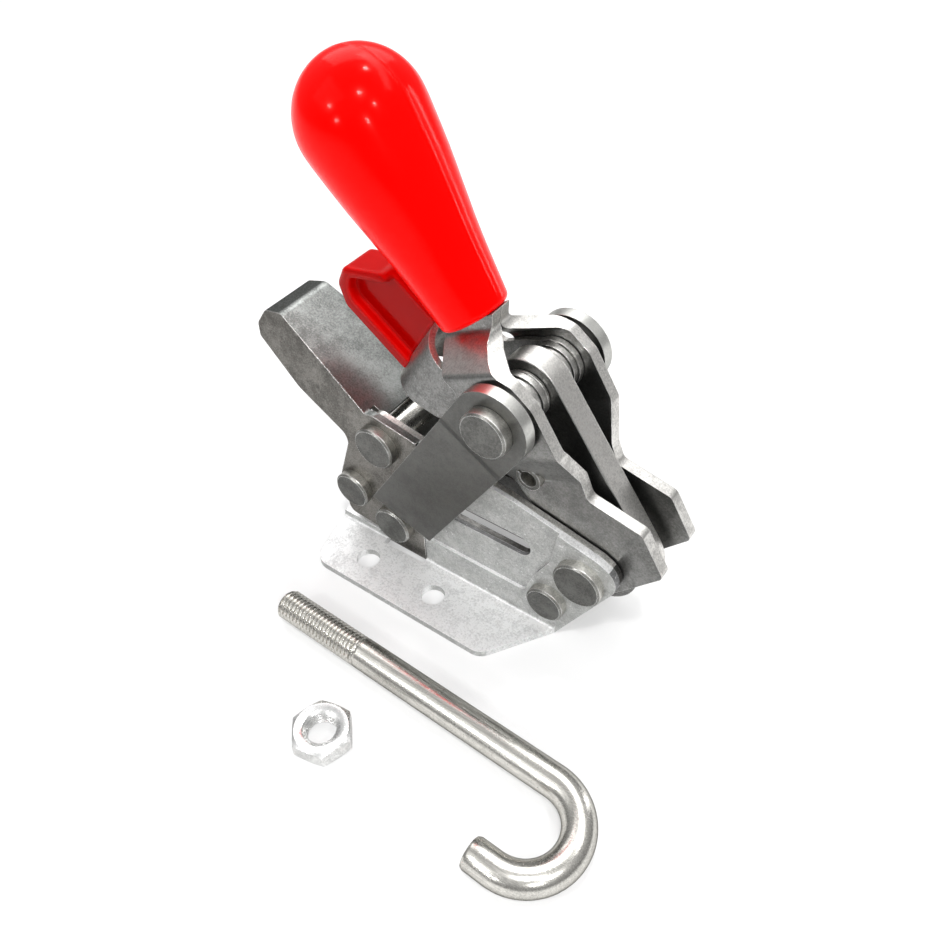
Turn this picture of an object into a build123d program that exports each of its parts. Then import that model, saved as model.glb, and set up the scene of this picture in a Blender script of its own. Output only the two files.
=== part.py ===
from build123d import *
import os
from math import acos, atan2, cos, degrees, radians, sin

# Over centre toggle latch with a hook bolt. Millimetres, +Z up.
# Origin: centre of the four mounting holes on the underside of the base.
# The clamp lies along X, with the main pivot towards +X and the hook's side towards -X.
# Y = 0 is the middle plane, and the near side is -Y.

# ---- fits ----
running = 0.05            # radial clearance of a pin in its hole
side_gap = 0.1            # side clearance between stacked pieces that turn
flush_gap = 0.4           # clearance between plates that pass each other
plate_pass = 0.5          # handle plates inside the side plates

# ---- base sheet metal ----
hole_spacing_x = 28.0
hole_spacing_y = 54.0
mount_hole_r = 4.0
base_half_w = 15.5        # outer face of the outer sheet
sheet = 2.5               # outer sheet
plate = 1.9               # slotted side plate
bend_r = 1.2
flange_half_w = 37.3
flange_rear = -34.6
flange_front = 54.5
flange_rear_cut = 5.1
flange_front_cut = 14.5
flange_corner_r = 6.0
upstand = 4.5             # height of the fold where the wall is cut away
seam_x = 2.4              # where the lever's cheek meets the angle's wall
seam_gap = 0.4
wall_foot = 1.4           # lower edge of the plates above the floor
panel_step = 1.1
panel_foot = 13.7
relief_x0 = -14.2
relief_x1 = seam_x + seam_gap
relief_out = 1.6

# ---- pin places (X, Z) and sizes ----
pivot_at = (62.2, 33.0)
link_at = (34.9, 84.3)
upper_guide_at = (-13.0, 48.4)
lower_guide_at = (-26.0, 22.0)
rear_at = (-9.4, 14.0)
front_at = (51.7, 16.0)
trunnion_x = 2.9
draw_z = pivot_at[1]      # the hook bolt pulls in line with the main pivot
rivet_r = 3.5
spacer_r = 5.0
pivot_r = 5.0
link_pin_r = 5.0
rivet_head_t = 3.3
link_head_t = 3.8
upper_head_r = 7.5
lower_head_r = 6.8
rear_head_r = 7.2
front_head_r = 6.5
pivot_head_r = 8.0
link_head_r = 7.4
head_edge = 0.6

# ---- slot and trunnion ----
slot_half_h = 4.0
slot_left = -1.5
slot_right = 43.9
journal_r = 3.0
barrel_r = 8.0
barrel_flat = 7.0
bolt_d = 10.0
thread_core_r = 4.25

# ---- squeeze lever ----
lever_lean = 30.6
lever_fold = (-17.6, 59.0)
lever_len = 41.4
lever_end_half_w = 10.8
lever_end_r = 3.5
lever_turns = ((194.6, 8.0), (234.0, 8.5), (272.0, 5.0))  # turned-down end: direction, run
lever_keel = (-49.0, 53.5)
web_tongue = 5.0          # web past the fold, between the plates
lever_edge = 0.8

# ---- handle ----
crease_angle = 26.0       # direction of the plates' folds in the side view
handle_t = 3.8
handle_set = 6.0          # how far the plates step out beside the link pin
tang_fold = -78.2         # fold stations, across the crease direction
wide_from = -70.8
wide_to = -47.5
low_from = -36.0
fold_skew_top = 2.1       # the outer face's folds against the inner face's
fold_skew_low = 0.9
tang_in = 0.15
fold_r = 3.0
grip_foot = (15.5, 100.0)
grip_angle = 126.1
grip_len = 57.8           # foot to the centre of the bulb
grip_foot_r = 10.4
grip_bulb_r = 17.9
grip_waist = ((20.0, 12.7), (40.0, 15.9))  # height, radius
grip_foot_edge = 1.8
tang_half_w = 7.4
neck_half_w = 10.0        # plates just below the grip
tang_len = 30.0
tang_fit = 0.1
link_half_t = 4.0
link_eye_r = 10.5
hub_r = 12.5
hub_lobe_r = 17.7
washer_t = 1.4
washer_r = 7.6
washer_edge = 0.3
bush_r = 7.6
groove_d = 0.9
groove_w = 1.0
pivot_washer_r = 14.0
tie_at = (41.5, 61.5)
tie_r = 4.0
tie_bore_r = 2.7
tie_past = 2.4            # pin end past the handle plate
tie_slit = 1.2

# ---- draw links ----
draw_t = 4.0
draw_half_w = 11.75
draw_joggle = 1.2
draw_skin = 1.3           # metal left outside the trunnion's journal
draw_left_past = 12.1     # cut end past the trunnion, rear corner
draw_right_past = 6.6

# ---- release lever ----
strap_t = 2.0
strap_reach = 47.8        # nose of the strap along its own axis
strap_tilt = 32.0
pad_half_w = 6.8
pad_web_half = 3.2
pad_rim = 4.6
tongue_half_t = 1.0
tongue_len = 16.0

# ---- hook bolt and nut on the floor ----
hook_start = (-22.5, -58.1)
hook_turn = -1.5
hook_straight = 105.2
hook_bend_r = 14.8
hook_tail = 7.3
nut_at = (17.9, -86.0)
nut_flats = 17.0
nut_t = 6.0
nut_turn = 12.0
thread_mouth = 0.9        # countersink at the nut's thread

# ---- sizes that follow ----
wall_in = base_half_w - sheet
plate_in = wall_in - plate
handle_low_out = plate_in - plate_pass
handle_low_in = handle_low_out - handle_t
handle_wide_in = handle_low_in + handle_set
handle_wide_out = handle_wide_in + handle_t
draw_up_in = handle_wide_out + washer_t + 2 * side_gap
draw_up_out = draw_up_in + draw_t
draw_low_in = draw_up_in - draw_joggle
draw_low_out = draw_low_in + draw_t
strap_out = handle_wide_in - 3 * side_gap
strap_in = strap_out - strap_t
link_dx = pivot_at[0] - link_at[0]
link_dz = pivot_at[1] - link_at[1]
trunnion_at = (trunnion_x, draw_z)
SIDES = (("near", -1), ("far", 1))

os.makedirs("parts", exist_ok=True)


def face_plane(side, distance):
    """Plane.XZ at y = side * distance; extrude by -side * thickness to go outwards."""
    return Plane.XZ.offset(-side * distance)


def finish(piece, name):
    piece.part.label = name
    export_step(piece.part, "parts/" + name + ".step")


def along(start, angle, distance, across=0.0):
    """Point at a distance along an angle in the side view, and across to its left."""
    a = radians(angle)
    return (
        start[0] + distance * cos(a) - across * sin(a),
        start[1] + distance * sin(a) + across * cos(a),
    )


def inset(point, angle_in, angle_out, depth):
    """Corner of a run moved in by a depth, to the left of its direction."""
    half_turn = (angle_out - angle_in) / 2
    return along(point, angle_in + half_turn + 90.0, depth / cos(radians(half_turn)))


# The side view of the wall, shared by the side plates, the angles and the lever's cheeks.
wall_rear_top = (-26.0, 44.5)
wall_rear_low = (-33.3, 23.0)
wall_heel = (-31.0, 6.9)
wall_ear = (-14.5, 59.6)
wall_top = (wall_ear, (12.0, 54.5), (35.0, 51.4), (67.0, 44.2))
wall_nose = (76.0, 39.6)
wall_toe = (flange_front - 0.4, wall_foot)
wall_points = [
    *wall_top,
    wall_nose,
    wall_toe,
    (relief_x0 + 0.6, wall_foot),
    (relief_x0 + 0.2, upstand + 0.7),
    wall_heel,
    wall_rear_low,
    wall_rear_top,
]
wall_radii = [4, 30, 30, 14, 7, 0, 0, 0, 3, 9, 4]


def slot_tool(side, from_face, to_face):
    """Cutter for the trunnion's slot, from one face to another."""
    with BuildPart() as tool:
        with BuildSketch(face_plane(side, from_face)):
            with Locations(((slot_left + slot_right) / 2, draw_z)):
                SlotOverall(slot_right - slot_left, 2 * slot_half_h)
        extrude(amount=-side * (to_face - from_face))
    return tool.part


def hole_tool(side, from_face, to_face, places):
    """Cutter for round holes (X, Z, radius), from one face to another."""
    with BuildPart() as tool:
        with BuildSketch(face_plane(side, from_face)):
            for place, radius in places:
                with Locations(place):
                    Circle(radius + running)
        extrude(amount=-side * (to_face - from_face))
    return tool.part


rear_pins = ((upper_guide_at, rivet_r), (lower_guide_at, rivet_r), (rear_at, rivet_r))
front_pins = ((front_at, rivet_r), (pivot_at, pivot_r))

# ---- side plates: full wall with the draw slot ----
for name, side in SIDES:
    slot = slot_tool(side, plate_in, wall_in)
    holes = hole_tool(side, plate_in, wall_in, rear_pins + front_pins)
    with BuildPart() as side_plate:
        with BuildSketch(face_plane(side, plate_in)):
            with BuildLine():
                FilletPolyline(*wall_points, radius=wall_radii, close=True)
            make_face()
        extrude(amount=-side * plate)
        add(slot, mode=Mode.SUBTRACT)
        add(holes, mode=Mode.SUBTRACT)
    finish(side_plate, name + "_side_plate")

# ---- base angles: folded sheet with a wall at the front and the mounting flange ----
for name, side in SIDES:
    slot = slot_tool(side, wall_in, base_half_w)
    holes = hole_tool(side, wall_in, base_half_w, front_pins)
    with BuildPart() as base_angle:
        # folded section, run along X
        with BuildSketch(Plane.YZ.offset(flange_rear)):
            with BuildLine():
                FilletPolyline(
                    (side * wall_in, wall_ear[1] + sheet),
                    (side * wall_in, 0),
                    (side * (flange_half_w + sheet), 0),
                    (side * (flange_half_w + sheet), sheet),
                    (side * base_half_w, sheet),
                    (side * base_half_w, wall_ear[1] + sheet),
                    radius=[0, bend_r + sheet, 0, 0, bend_r, 0],
                    close=True,
                )
            make_face()
        extrude(amount=wall_nose[0] - flange_rear)
        # side view: wall in front of the seam, low upstand behind it
        with BuildSketch(Plane.XZ.offset(-flange_half_w - 2 * sheet)):
            with BuildLine():
                FilletPolyline(
                    (seam_x + seam_gap, upstand),
                    (seam_x + seam_gap, wall_ear[1] - 3.0),
                    *wall_top[1:],
                    wall_nose,
                    (flange_front, 0),
                    (flange_rear, 0),
                    (flange_rear, upstand),
                    radius=[0, 0, 30, 30, 14, 7, 0, 0, 0],
                    close=True,
                )
            make_face()
        extrude(amount=2 * (flange_half_w + 2 * sheet), mode=Mode.INTERSECT)
        # plan view: flange with bevelled corners
        with BuildSketch(Plane.XY.offset(-sheet)):
            with BuildLine():
                FilletPolyline(
                    (flange_rear, side * (wall_in - sheet)),
                    (flange_rear, side * base_half_w),
                    (flange_rear + flange_rear_cut, side * flange_half_w),
                    (flange_front - flange_front_cut, side * flange_half_w),
                    (flange_front, side * base_half_w),
                    (wall_nose[0] + sheet, side * base_half_w),
                    (wall_nose[0] + sheet, side * (wall_in - sheet)),
                    radius=[0, 0, flange_corner_r, flange_corner_r, 0, 0, 0],
                    close=True,
                )
            make_face()
        extrude(amount=wall_ear[1] + 3 * sheet, mode=Mode.INTERSECT)
        # relief slot at the fold, under the rear rivet
        with BuildSketch(Plane.XY.offset(-sheet)):
            with Locations(((relief_x0 + relief_x1) / 2, side * (wall_in + base_half_w + relief_out) / 2)):
                Rectangle(relief_x1 - relief_x0, sheet + relief_out + 2.0)
        extrude(amount=3 * sheet, mode=Mode.SUBTRACT)
        # coined panel round the slot
        with BuildSketch(face_plane(side, base_half_w + sheet)):
            with BuildLine():
                FilletPolyline(
                    (seam_x - sheet, panel_foot),
                    (42.5, panel_foot),
                    (46.5, 25.0),
                    (51.5, 34.0),
                    (56.0, 62.0),
                    (seam_x - sheet, 62.0),
                    radius=[0, 2.5, 6, 10, 0, 0],
                    close=True,
                )
            make_face()
        extrude(amount=side * (sheet + panel_step), mode=Mode.SUBTRACT)
        add(slot, mode=Mode.SUBTRACT)
        add(holes, mode=Mode.SUBTRACT)
        with BuildSketch(Plane.XY):
            with Locations((0, side * hole_spacing_y / 2)):
                with GridLocations(hole_spacing_x, 1, 2, 1):
                    Circle(mount_hole_r)
        extrude(amount=sheet, mode=Mode.SUBTRACT)
    finish(base_angle, name + "_base_angle")

# ---- squeeze lever: folded channel, its cheeks outside the side plates ----
lever_out = 180.0 - lever_lean
lever_end = [along(lever_fold, lever_out, lever_len)]
for angle, run in lever_turns:
    lever_end.append(along(lever_end[-1], angle, run))
end_angles = [lever_out, *(angle for angle, run in lever_turns)]
lever_end_inner = [
    inset(point, end_angles[i], end_angles[min(i + 1, len(lever_turns))], sheet)
    for i, point in enumerate(lever_end)
]
lever_plane = Plane(
    origin=(lever_fold[0], 0, lever_fold[1]),
    x_dir=(cos(radians(lever_out)), 0, sin(radians(lever_out))),
    z_dir=(sin(radians(lever_lean)), 0, cos(radians(lever_lean))),
)
cheek_slope = (base_half_w - lever_end_half_w) / lever_len
cheek_reach = 1.4 * lever_len
cheek_end_half_w = base_half_w - cheek_slope * cheek_reach
cheek_points = [
    wall_ear,
    lever_fold,
    *lever_end,
    lever_keel,
    wall_rear_top,
    wall_rear_low,
    wall_heel,
    (relief_x0 + 0.2, upstand + 0.7),
    (relief_x0 + 0.6, wall_foot),
    (seam_x, wall_foot),
    (seam_x, wall_ear[1] - 3.1),
]
cheek_radii = [4, 2, 3, lever_end_r, lever_end_r, 2, 12, 4, 9, 3, 0, 0, 0, 0]

with BuildPart() as lever_cheeks:
    with BuildSketch(lever_plane):
        for side in (-1, 1):
            with BuildLine():
                Polyline(
                    (-3 * lever_len, side * wall_in),
                    (0, side * wall_in),
                    (cheek_reach, side * (cheek_end_half_w - sheet)),
                    (cheek_reach, side * cheek_end_half_w),
                    (0, side * base_half_w),
                    (-3 * lever_len, side * base_half_w),
                    close=True,
                )
            make_face()
    extrude(amount=3 * lever_len, both=True)
    with BuildSketch(Plane.XZ):
        with BuildLine():
            FilletPolyline(*cheek_points, radius=cheek_radii, close=True)
        make_face()
    extrude(amount=2 * base_half_w, both=True, mode=Mode.INTERSECT)

cheek_cuts = [slot_tool(side, wall_in, base_half_w) for side in (-1, 1)]
cheek_cuts += [hole_tool(side, wall_in - sheet, base_half_w + sheet, rear_pins) for side in (-1, 1)]
with BuildPart() as squeeze_lever:
    # web and turned-down end, as wide as the flared cheeks
    with BuildSketch(Plane.XZ):
        with BuildLine():
            FilletPolyline(
                lever_fold,
                *lever_end,
                *reversed(lever_end_inner),
                along(lever_fold, lever_out + 90.0, sheet),
                radius=[0, 3, lever_end_r, lever_end_r, 0, 0, 1.0, 1.0, 0.5, 0],
                close=True,
            )
        make_face()
    extrude(amount=base_half_w, both=True)
    with BuildSketch(lever_plane):
        with BuildLine():
            Polyline(
                (-lever_len, -base_half_w),
                (0, -base_half_w),
                (cheek_reach, -cheek_end_half_w),
                (cheek_reach, cheek_end_half_w),
                (0, base_half_w),
                (-lever_len, base_half_w),
                close=True,
            )
        make_face()
    extrude(amount=2 * lever_len, both=True, mode=Mode.INTERSECT)
    # low end of the web, narrowed to pass between the side plates
    with BuildSketch(lever_plane):
        with Locations((-web_tongue / 2, 0)):
            Rectangle(web_tongue, 2 * (plate_in - flush_gap))
    extrude(amount=-sheet)
    add(lever_cheeks.part)
    for cut in cheek_cuts:
        add(cut, mode=Mode.SUBTRACT)
finish(squeeze_lever, "squeeze_lever")

# ---- spacer tubes between the side plates ----
spacers = (
    ("upper_guide_spacer", upper_guide_at),
    ("lower_guide_spacer", lower_guide_at),
    ("rear_spacer", rear_at),
    ("front_spacer", front_at),
)
for name, place in spacers:
    with BuildPart() as spacer:
        with BuildSketch(Plane.XZ):
            with Locations(place):
                Circle(spacer_r)
                Circle(rivet_r + running, mode=Mode.SUBTRACT)
        extrude(amount=plate_in, both=True)
    finish(spacer, name)


# ---- rivets and the two main pins: a shank and two heads ----
def headed_pin(name, place, shank_r, head_r, grip_half, head_t):
    with BuildPart() as pin:
        with BuildSketch(Plane.XZ):
            with Locations(place):
                Circle(shank_r)
        extrude(amount=grip_half, both=True)
        for side in (-1, 1):
            with BuildSketch(face_plane(side, grip_half)):
                with Locations(place):
                    Circle(head_r)
            extrude(amount=-side * head_t)
        rims = pin.edges().filter_by(GeomType.CIRCLE).group_by(Axis.Y)
        chamfer(rims[0] + rims[-1], head_edge)
    finish(pin, name)


headed_pin("upper_guide_rivet", upper_guide_at, rivet_r, upper_head_r, base_half_w, rivet_head_t)
headed_pin("lower_guide_rivet", lower_guide_at, rivet_r, lower_head_r, base_half_w, rivet_head_t)
headed_pin("rear_rivet", rear_at, rivet_r, rear_head_r, base_half_w, rivet_head_t)
headed_pin("front_rivet", front_at, rivet_r, front_head_r, base_half_w, rivet_head_t)
headed_pin("pivot_pin", pivot_at, pivot_r, pivot_head_r, base_half_w, rivet_head_t)
headed_pin("link_pin", link_at, link_pin_r, link_head_r, draw_up_out + side_gap, link_head_t)

# ---- handle plates: a joggled strap cut to the side view ----
crease = radians(crease_angle)
handle_plane = Plane(
    origin=(0, 0, 0),
    x_dir=(sin(crease), 0, -cos(crease)),
    z_dir=(cos(crease), 0, sin(crease)),
)
tang_top = along(grip_foot, grip_angle, tang_len)
handle_run = 1.5 * tang_len
handle_points = [
    along(tang_top, grip_angle, 0, -tang_half_w),
    along(grip_foot, grip_angle, -tang_fit, -tang_half_w),
    along(grip_foot, grip_angle, -tang_fit, -neck_half_w),
    (23.2, 99.2),
    (28.2, 97.3),
    (37.8, 95.8),
    (44.4, 90.8),
    (53.0, 77.0),
    (59.5, 61.2),
    (77.0, 57.5),
    (85.0, 44.5),
    (72.0, 29.0),
    along(pivot_at, -75.0, hub_r),
    along(pivot_at, -140.0, hub_r + 1.5),
    (48.4, 37.0),
    (41.0, 50.0),
    (31.0, 61.0),
    (21.0, 72.5),
    (20.0, 86.0),
    (8.6, 92.0),
    along(grip_foot, grip_angle, -tang_fit, neck_half_w),
    along(grip_foot, grip_angle, -tang_fit, tang_half_w),
    along(tang_top, grip_angle, 0, tang_half_w),
]
handle_radii = [3, 0, 0, 3, 3, 4, 6, 5, 3, 2.5, 2, 2, 6, 6, 5, 8, 8, 8, 4, 1, 0, 0, 3]

for name, side in SIDES:
    with BuildPart() as handle_plate:
        with BuildSketch(handle_plane):
            with BuildLine():
                inner = FilletPolyline(
                    (tang_fold - handle_run, side * tang_in),
                    (tang_fold, side * tang_in),
                    (wide_from, side * handle_wide_in),
                    (wide_to, side * handle_wide_in),
                    (low_from, side * handle_low_in),
                    (handle_run, side * handle_low_in),
                    radius=fold_r,
                )
                outer = FilletPolyline(
                    (tang_fold - handle_run, side * (tang_in + handle_t)),
                    (tang_fold - fold_skew_top, side * (tang_in + handle_t)),
                    (wide_from - fold_skew_top, side * handle_wide_out),
                    (wide_to + fold_skew_low, side * handle_wide_out),
                    (low_from + fold_skew_low, side * handle_low_out),
                    (handle_run, side * handle_low_out),
                    radius=fold_r,
                )
                Line(inner @ 0, outer @ 0)
                Line(inner @ 1, outer @ 1)
            make_face()
        extrude(amount=3 * handle_run, both=True)
        with BuildSketch(Plane.XZ):
            with BuildLine():
                FilletPolyline(*handle_points, radius=handle_radii, close=True)
            make_face()
            for place, radius in ((link_at, link_pin_r), (pivot_at, pivot_r), (tie_at, tie_r)):
                with Locations(place):
                    Circle(radius + running, mode=Mode.SUBTRACT)
        extrude(amount=2 * handle_wide_out, both=True, mode=Mode.INTERSECT)
    finish(handle_plate, name + "_handle_plate")

# ---- grip: a turned pear with a pocket for the two tangs ----
grip_plane = Plane(
    origin=(grip_foot[0], 0, grip_foot[1]),
    x_dir=(sin(radians(grip_angle)), 0, -cos(radians(grip_angle))),
    z_dir=(cos(radians(grip_angle)), 0, sin(radians(grip_angle))),
)
grip_section = Plane(origin=grip_plane.origin, x_dir=grip_plane.x_dir, z_dir=-grip_plane.y_dir)
with BuildPart() as handle_grip:
    with BuildSketch(grip_section):
        with BuildLine():
            Line((0, 0), (grip_foot_r - grip_foot_edge, 0))
            RadiusArc((grip_foot_r - grip_foot_edge, 0), (grip_foot_r, grip_foot_edge), -grip_foot_edge)
            Spline(
                (grip_foot_r, grip_foot_edge),
                *((radius, height) for height, radius in grip_waist),
                (grip_bulb_r, grip_len),
                tangents=((0.08, 1.0), (0.0, 1.0)),
            )
            CenterArc((0, grip_len), grip_bulb_r, 0, 90)
            Line((0, grip_len + grip_bulb_r), (0, 0))
        make_face()
    revolve(axis=Axis(grip_plane.origin, grip_plane.z_dir))
    # pocket
    with BuildSketch(grip_plane):
        Rectangle(2 * (tang_half_w + tang_fit), 2 * (tang_in + handle_t + tang_fit))
    extrude(amount=tang_len + tang_fit, mode=Mode.SUBTRACT)
finish(handle_grip, "handle_grip")

# ---- centre link: an eye, a hub and a lobe on the front of the hub ----
link_angle = degrees(atan2(link_dz, link_dx))
link_len = (link_dx**2 + link_dz**2) ** 0.5
front_lean = link_angle + degrees(acos((link_eye_r - hub_lobe_r) / link_len))
with BuildPart() as centre_link:
    with BuildSketch(Plane.XZ):
        with Locations(link_at):
            Circle(link_eye_r)
        with Locations(pivot_at):
            Circle(hub_r)
        make_hull()
        with BuildLine():
            Polyline(
                link_at,
                along(link_at, front_lean, link_eye_r),
                along(pivot_at, front_lean, hub_lobe_r),
            )
            CenterArc(pivot_at, hub_lobe_r, front_lean, -front_lean + 4.0)
            Polyline(
                along(pivot_at, 4.0, hub_lobe_r),
                along(pivot_at, -70.0, hub_r),
                pivot_at,
                link_at,
            )
        make_face()
        for place, radius in ((link_at, link_pin_r), (pivot_at, pivot_r), (tie_at, tie_r)):
            with Locations(place):
                Circle(radius + running, mode=Mode.SUBTRACT)
    extrude(amount=link_half_t, both=True)
    fillet(centre_link.faces().filter_by(Axis.Y).edges().filter_by(GeomType.LINE), 0.5)
finish(centre_link, "centre_link")

# ---- washers and bushes on the link pin, discs on the pivot ----
washer_from = link_half_t
washer_to = washer_from + washer_t
bush_to = strap_in - side_gap
outer_washer_from = handle_wide_out
for name, side in SIDES:
    with BuildPart() as washer:
        with BuildSketch(face_plane(side, washer_from)):
            with Locations(link_at):
                Circle(washer_r)
                Circle(link_pin_r + running, mode=Mode.SUBTRACT)
        extrude(amount=-side * washer_t)
        chamfer(washer.edges().filter_by(GeomType.CIRCLE).sort_by(SortBy.RADIUS)[-2:], washer_edge)
    finish(washer, name + "_link_washer")

    with BuildPart() as bush:
        with BuildSketch(face_plane(side, washer_to)):
            with Locations(link_at):
                Circle(bush_r)
                Circle(link_pin_r + running, mode=Mode.SUBTRACT)
        extrude(amount=-side * (bush_to - washer_to))
        with BuildSketch(face_plane(side, bush_to - 2 * groove_w)):
            with Locations(link_at):
                Circle(bush_r + groove_w)
                Circle(bush_r - groove_d, mode=Mode.SUBTRACT)
        extrude(amount=side * groove_w, mode=Mode.SUBTRACT)
    finish(bush, name + "_link_bush")

    with BuildPart() as outer_washer:
        with BuildSketch(face_plane(side, outer_washer_from)):
            with Locations(link_at):
                Circle(washer_r + 2.0)
                Circle(link_pin_r + running, mode=Mode.SUBTRACT)
        extrude(amount=-side * washer_t)
    finish(outer_washer, name + "_outer_washer")

    with BuildPart() as pivot_washer:
        with BuildSketch(face_plane(side, link_half_t)):
            with Locations(pivot_at):
                Circle(pivot_washer_r)
                Circle(pivot_r + running, mode=Mode.SUBTRACT)
        extrude(amount=-side * (handle_low_in - link_half_t))
    finish(pivot_washer, name + "_pivot_washer")

# ---- tie pin: a slotted spring pin through both plates and the centre link ----
with BuildPart() as tie_pin:
    with BuildSketch(Plane.XZ):
        with Locations(tie_at):
            Circle(tie_r)
            Circle(tie_bore_r, mode=Mode.SUBTRACT)
        with Locations(along(tie_at, 150.0, tie_r)):
            Rectangle(2 * tie_r, tie_slit, rotation=150.0, mode=Mode.SUBTRACT)
    extrude(amount=handle_low_out + tie_past, both=True)
finish(tie_pin, "tie_pin")

# ---- draw links: joggled straps from the link pin to the trunnion ----
draw_angle = degrees(atan2(trunnion_at[1] - link_at[1], trunnion_at[0] - link_at[0]))
draw_plane = Plane(
    origin=(link_at[0], 0, link_at[1]),
    x_dir=(cos(radians(draw_angle)), 0, sin(radians(draw_angle))),
    z_dir=(-sin(radians(draw_angle)), 0, cos(radians(draw_angle))),
)
draw_rear_corner = along(trunnion_at, draw_angle, draw_left_past, -draw_half_w)
draw_front_corner = along(trunnion_at, draw_angle, draw_right_past, draw_half_w)
for name, side in SIDES:
    with BuildPart() as draw_link:
        with BuildSketch(draw_plane):
            with BuildLine():
                inner = FilletPolyline(
                    (-30, side * draw_up_in),
                    (11.5, side * draw_up_in),
                    (15.0, side * draw_low_in),
                    (90, side * draw_low_in),
                    radius=fold_r,
                )
                outer = FilletPolyline(
                    (-30, side * draw_up_out),
                    (12.0, side * draw_up_out),
                    (15.5, side * draw_low_out),
                    (90, side * draw_low_out),
                    radius=fold_r,
                )
                Line(inner @ 0, outer @ 0)
                Line(inner @ 1, outer @ 1)
            make_face()
        extrude(amount=2 * draw_half_w, both=True)
        with BuildSketch(Plane.XZ):
            with Locations(link_at):
                Circle(draw_half_w)
            with BuildLine():
                Polyline(
                    along(link_at, draw_angle, 0, draw_half_w),
                    draw_front_corner,
                    draw_rear_corner,
                    along(link_at, draw_angle, 0, -draw_half_w),
                    close=True,
                )
            make_face()
            with Locations(link_at):
                Circle(link_pin_r + running, mode=Mode.SUBTRACT)
        extrude(amount=2 * draw_up_out, both=True, mode=Mode.INTERSECT)
        # blind hole for the trunnion's journal
        with BuildSketch(face_plane(side, draw_low_in)):
            with Locations(trunnion_at):
                Circle(journal_r + running)
        extrude(amount=-side * (draw_t - draw_skin), mode=Mode.SUBTRACT)
    finish(draw_link, name + "_draw_link")

# ---- trunnion: barrel with a cross thread and two journals that run in the slots ----
with BuildPart() as barrel_nut:
    with BuildSketch(Plane.XZ):
        with Locations(trunnion_at):
            Circle(barrel_r)
    extrude(amount=plate_in - flush_gap, both=True)
    chamfer(barrel_nut.edges().filter_by(GeomType.CIRCLE), 0.6)
    with BuildSketch(Plane.XZ):
        with Locations(trunnion_at):
            Circle(journal_r)
    extrude(amount=draw_low_out - draw_skin - side_gap, both=True)
    with BuildSketch(Plane.XY.offset(draw_z)):
        for end in (-1, 1):
            with Locations((trunnion_x + end * (barrel_flat + barrel_r / 2), 0)):
                Rectangle(barrel_r, 2 * plate_in)
    extrude(amount=barrel_r, both=True, mode=Mode.SUBTRACT)
    with BuildSketch(Plane.YZ.offset(trunnion_x)):
        with Locations((0, draw_z)):
            Circle(thread_core_r)
    extrude(amount=barrel_r, both=True, mode=Mode.SUBTRACT)
finish(barrel_nut, "barrel_nut")

# ---- release lever: a strap bent round into a nose, with a tongue for the pad ----
strap_lean = 180.0 - strap_tilt
strap_plane = Plane(
    origin=(0, 0, 0),
    x_dir=(cos(radians(strap_lean)), 0, sin(radians(strap_lean))),
    z_dir=(sin(radians(strap_tilt)), 0, cos(radians(strap_tilt))),
)
nose_mid = strap_reach - strap_out
pad_heel = (-7.0, 74.9)
pad_toe = (4.0, 93.8)
strap_low = (9.5, 68.6)
strap_neck = (17.2, 85.0)


with BuildPart() as strap_block:
    with BuildSketch(strap_plane):
        with BuildLine():
            Polyline(
                (nose_mid, -strap_out),
                (-60, -strap_out),
                (-60, strap_out),
                (nose_mid, strap_out),
            )
            CenterArc((nose_mid, 0), strap_out, -90, 180)
        make_face()
    extrude(amount=150, both=True)

with BuildPart() as release_lever:
    add(strap_block.part)
    with BuildSketch(strap_plane):
        with BuildLine():
            Polyline(
                (nose_mid, -strap_in),
                (-60, -strap_in),
                (-60, strap_in),
                (nose_mid, strap_in),
            )
            CenterArc((nose_mid, 0), strap_in, -90, 180)
        make_face()
    extrude(amount=160, both=True, mode=Mode.SUBTRACT)
    with BuildSketch(Plane.XZ):
        with BuildLine():
            FilletPolyline(
                (link_at[0], link_at[1] + washer_r + 0.6),
                (24.0, 88.6),
                strap_neck,
                (7.0, 90.2),
                (-4.0, 97.0),
                (-22.0, 75.0),
                (-8.6, 72.6),
                strap_low,
                (link_at[0], link_at[1] - washer_r - 0.6),
                radius=[0, 4, 3, 3, 0, 0, 0, 5, 0],
                close=True,
            )
        make_face()
        with Locations(link_at):
            Circle(washer_r + 0.6)
            Circle(link_pin_r + running, mode=Mode.SUBTRACT)
    extrude(amount=2 * strap_out, both=True, mode=Mode.INTERSECT)
    # tongue inside the pad
    tongue_root = strap_reach - strap_t / 2
    with BuildSketch(strap_plane.offset(83.0 * cos(radians(strap_tilt)) - 1.0)):
        with Locations((tongue_root + tongue_len / 2, 0)):
            Rectangle(tongue_len, 2 * tongue_half_t)
    extrude(amount=5.0, both=True)
finish(release_lever, "release_lever")

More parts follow.
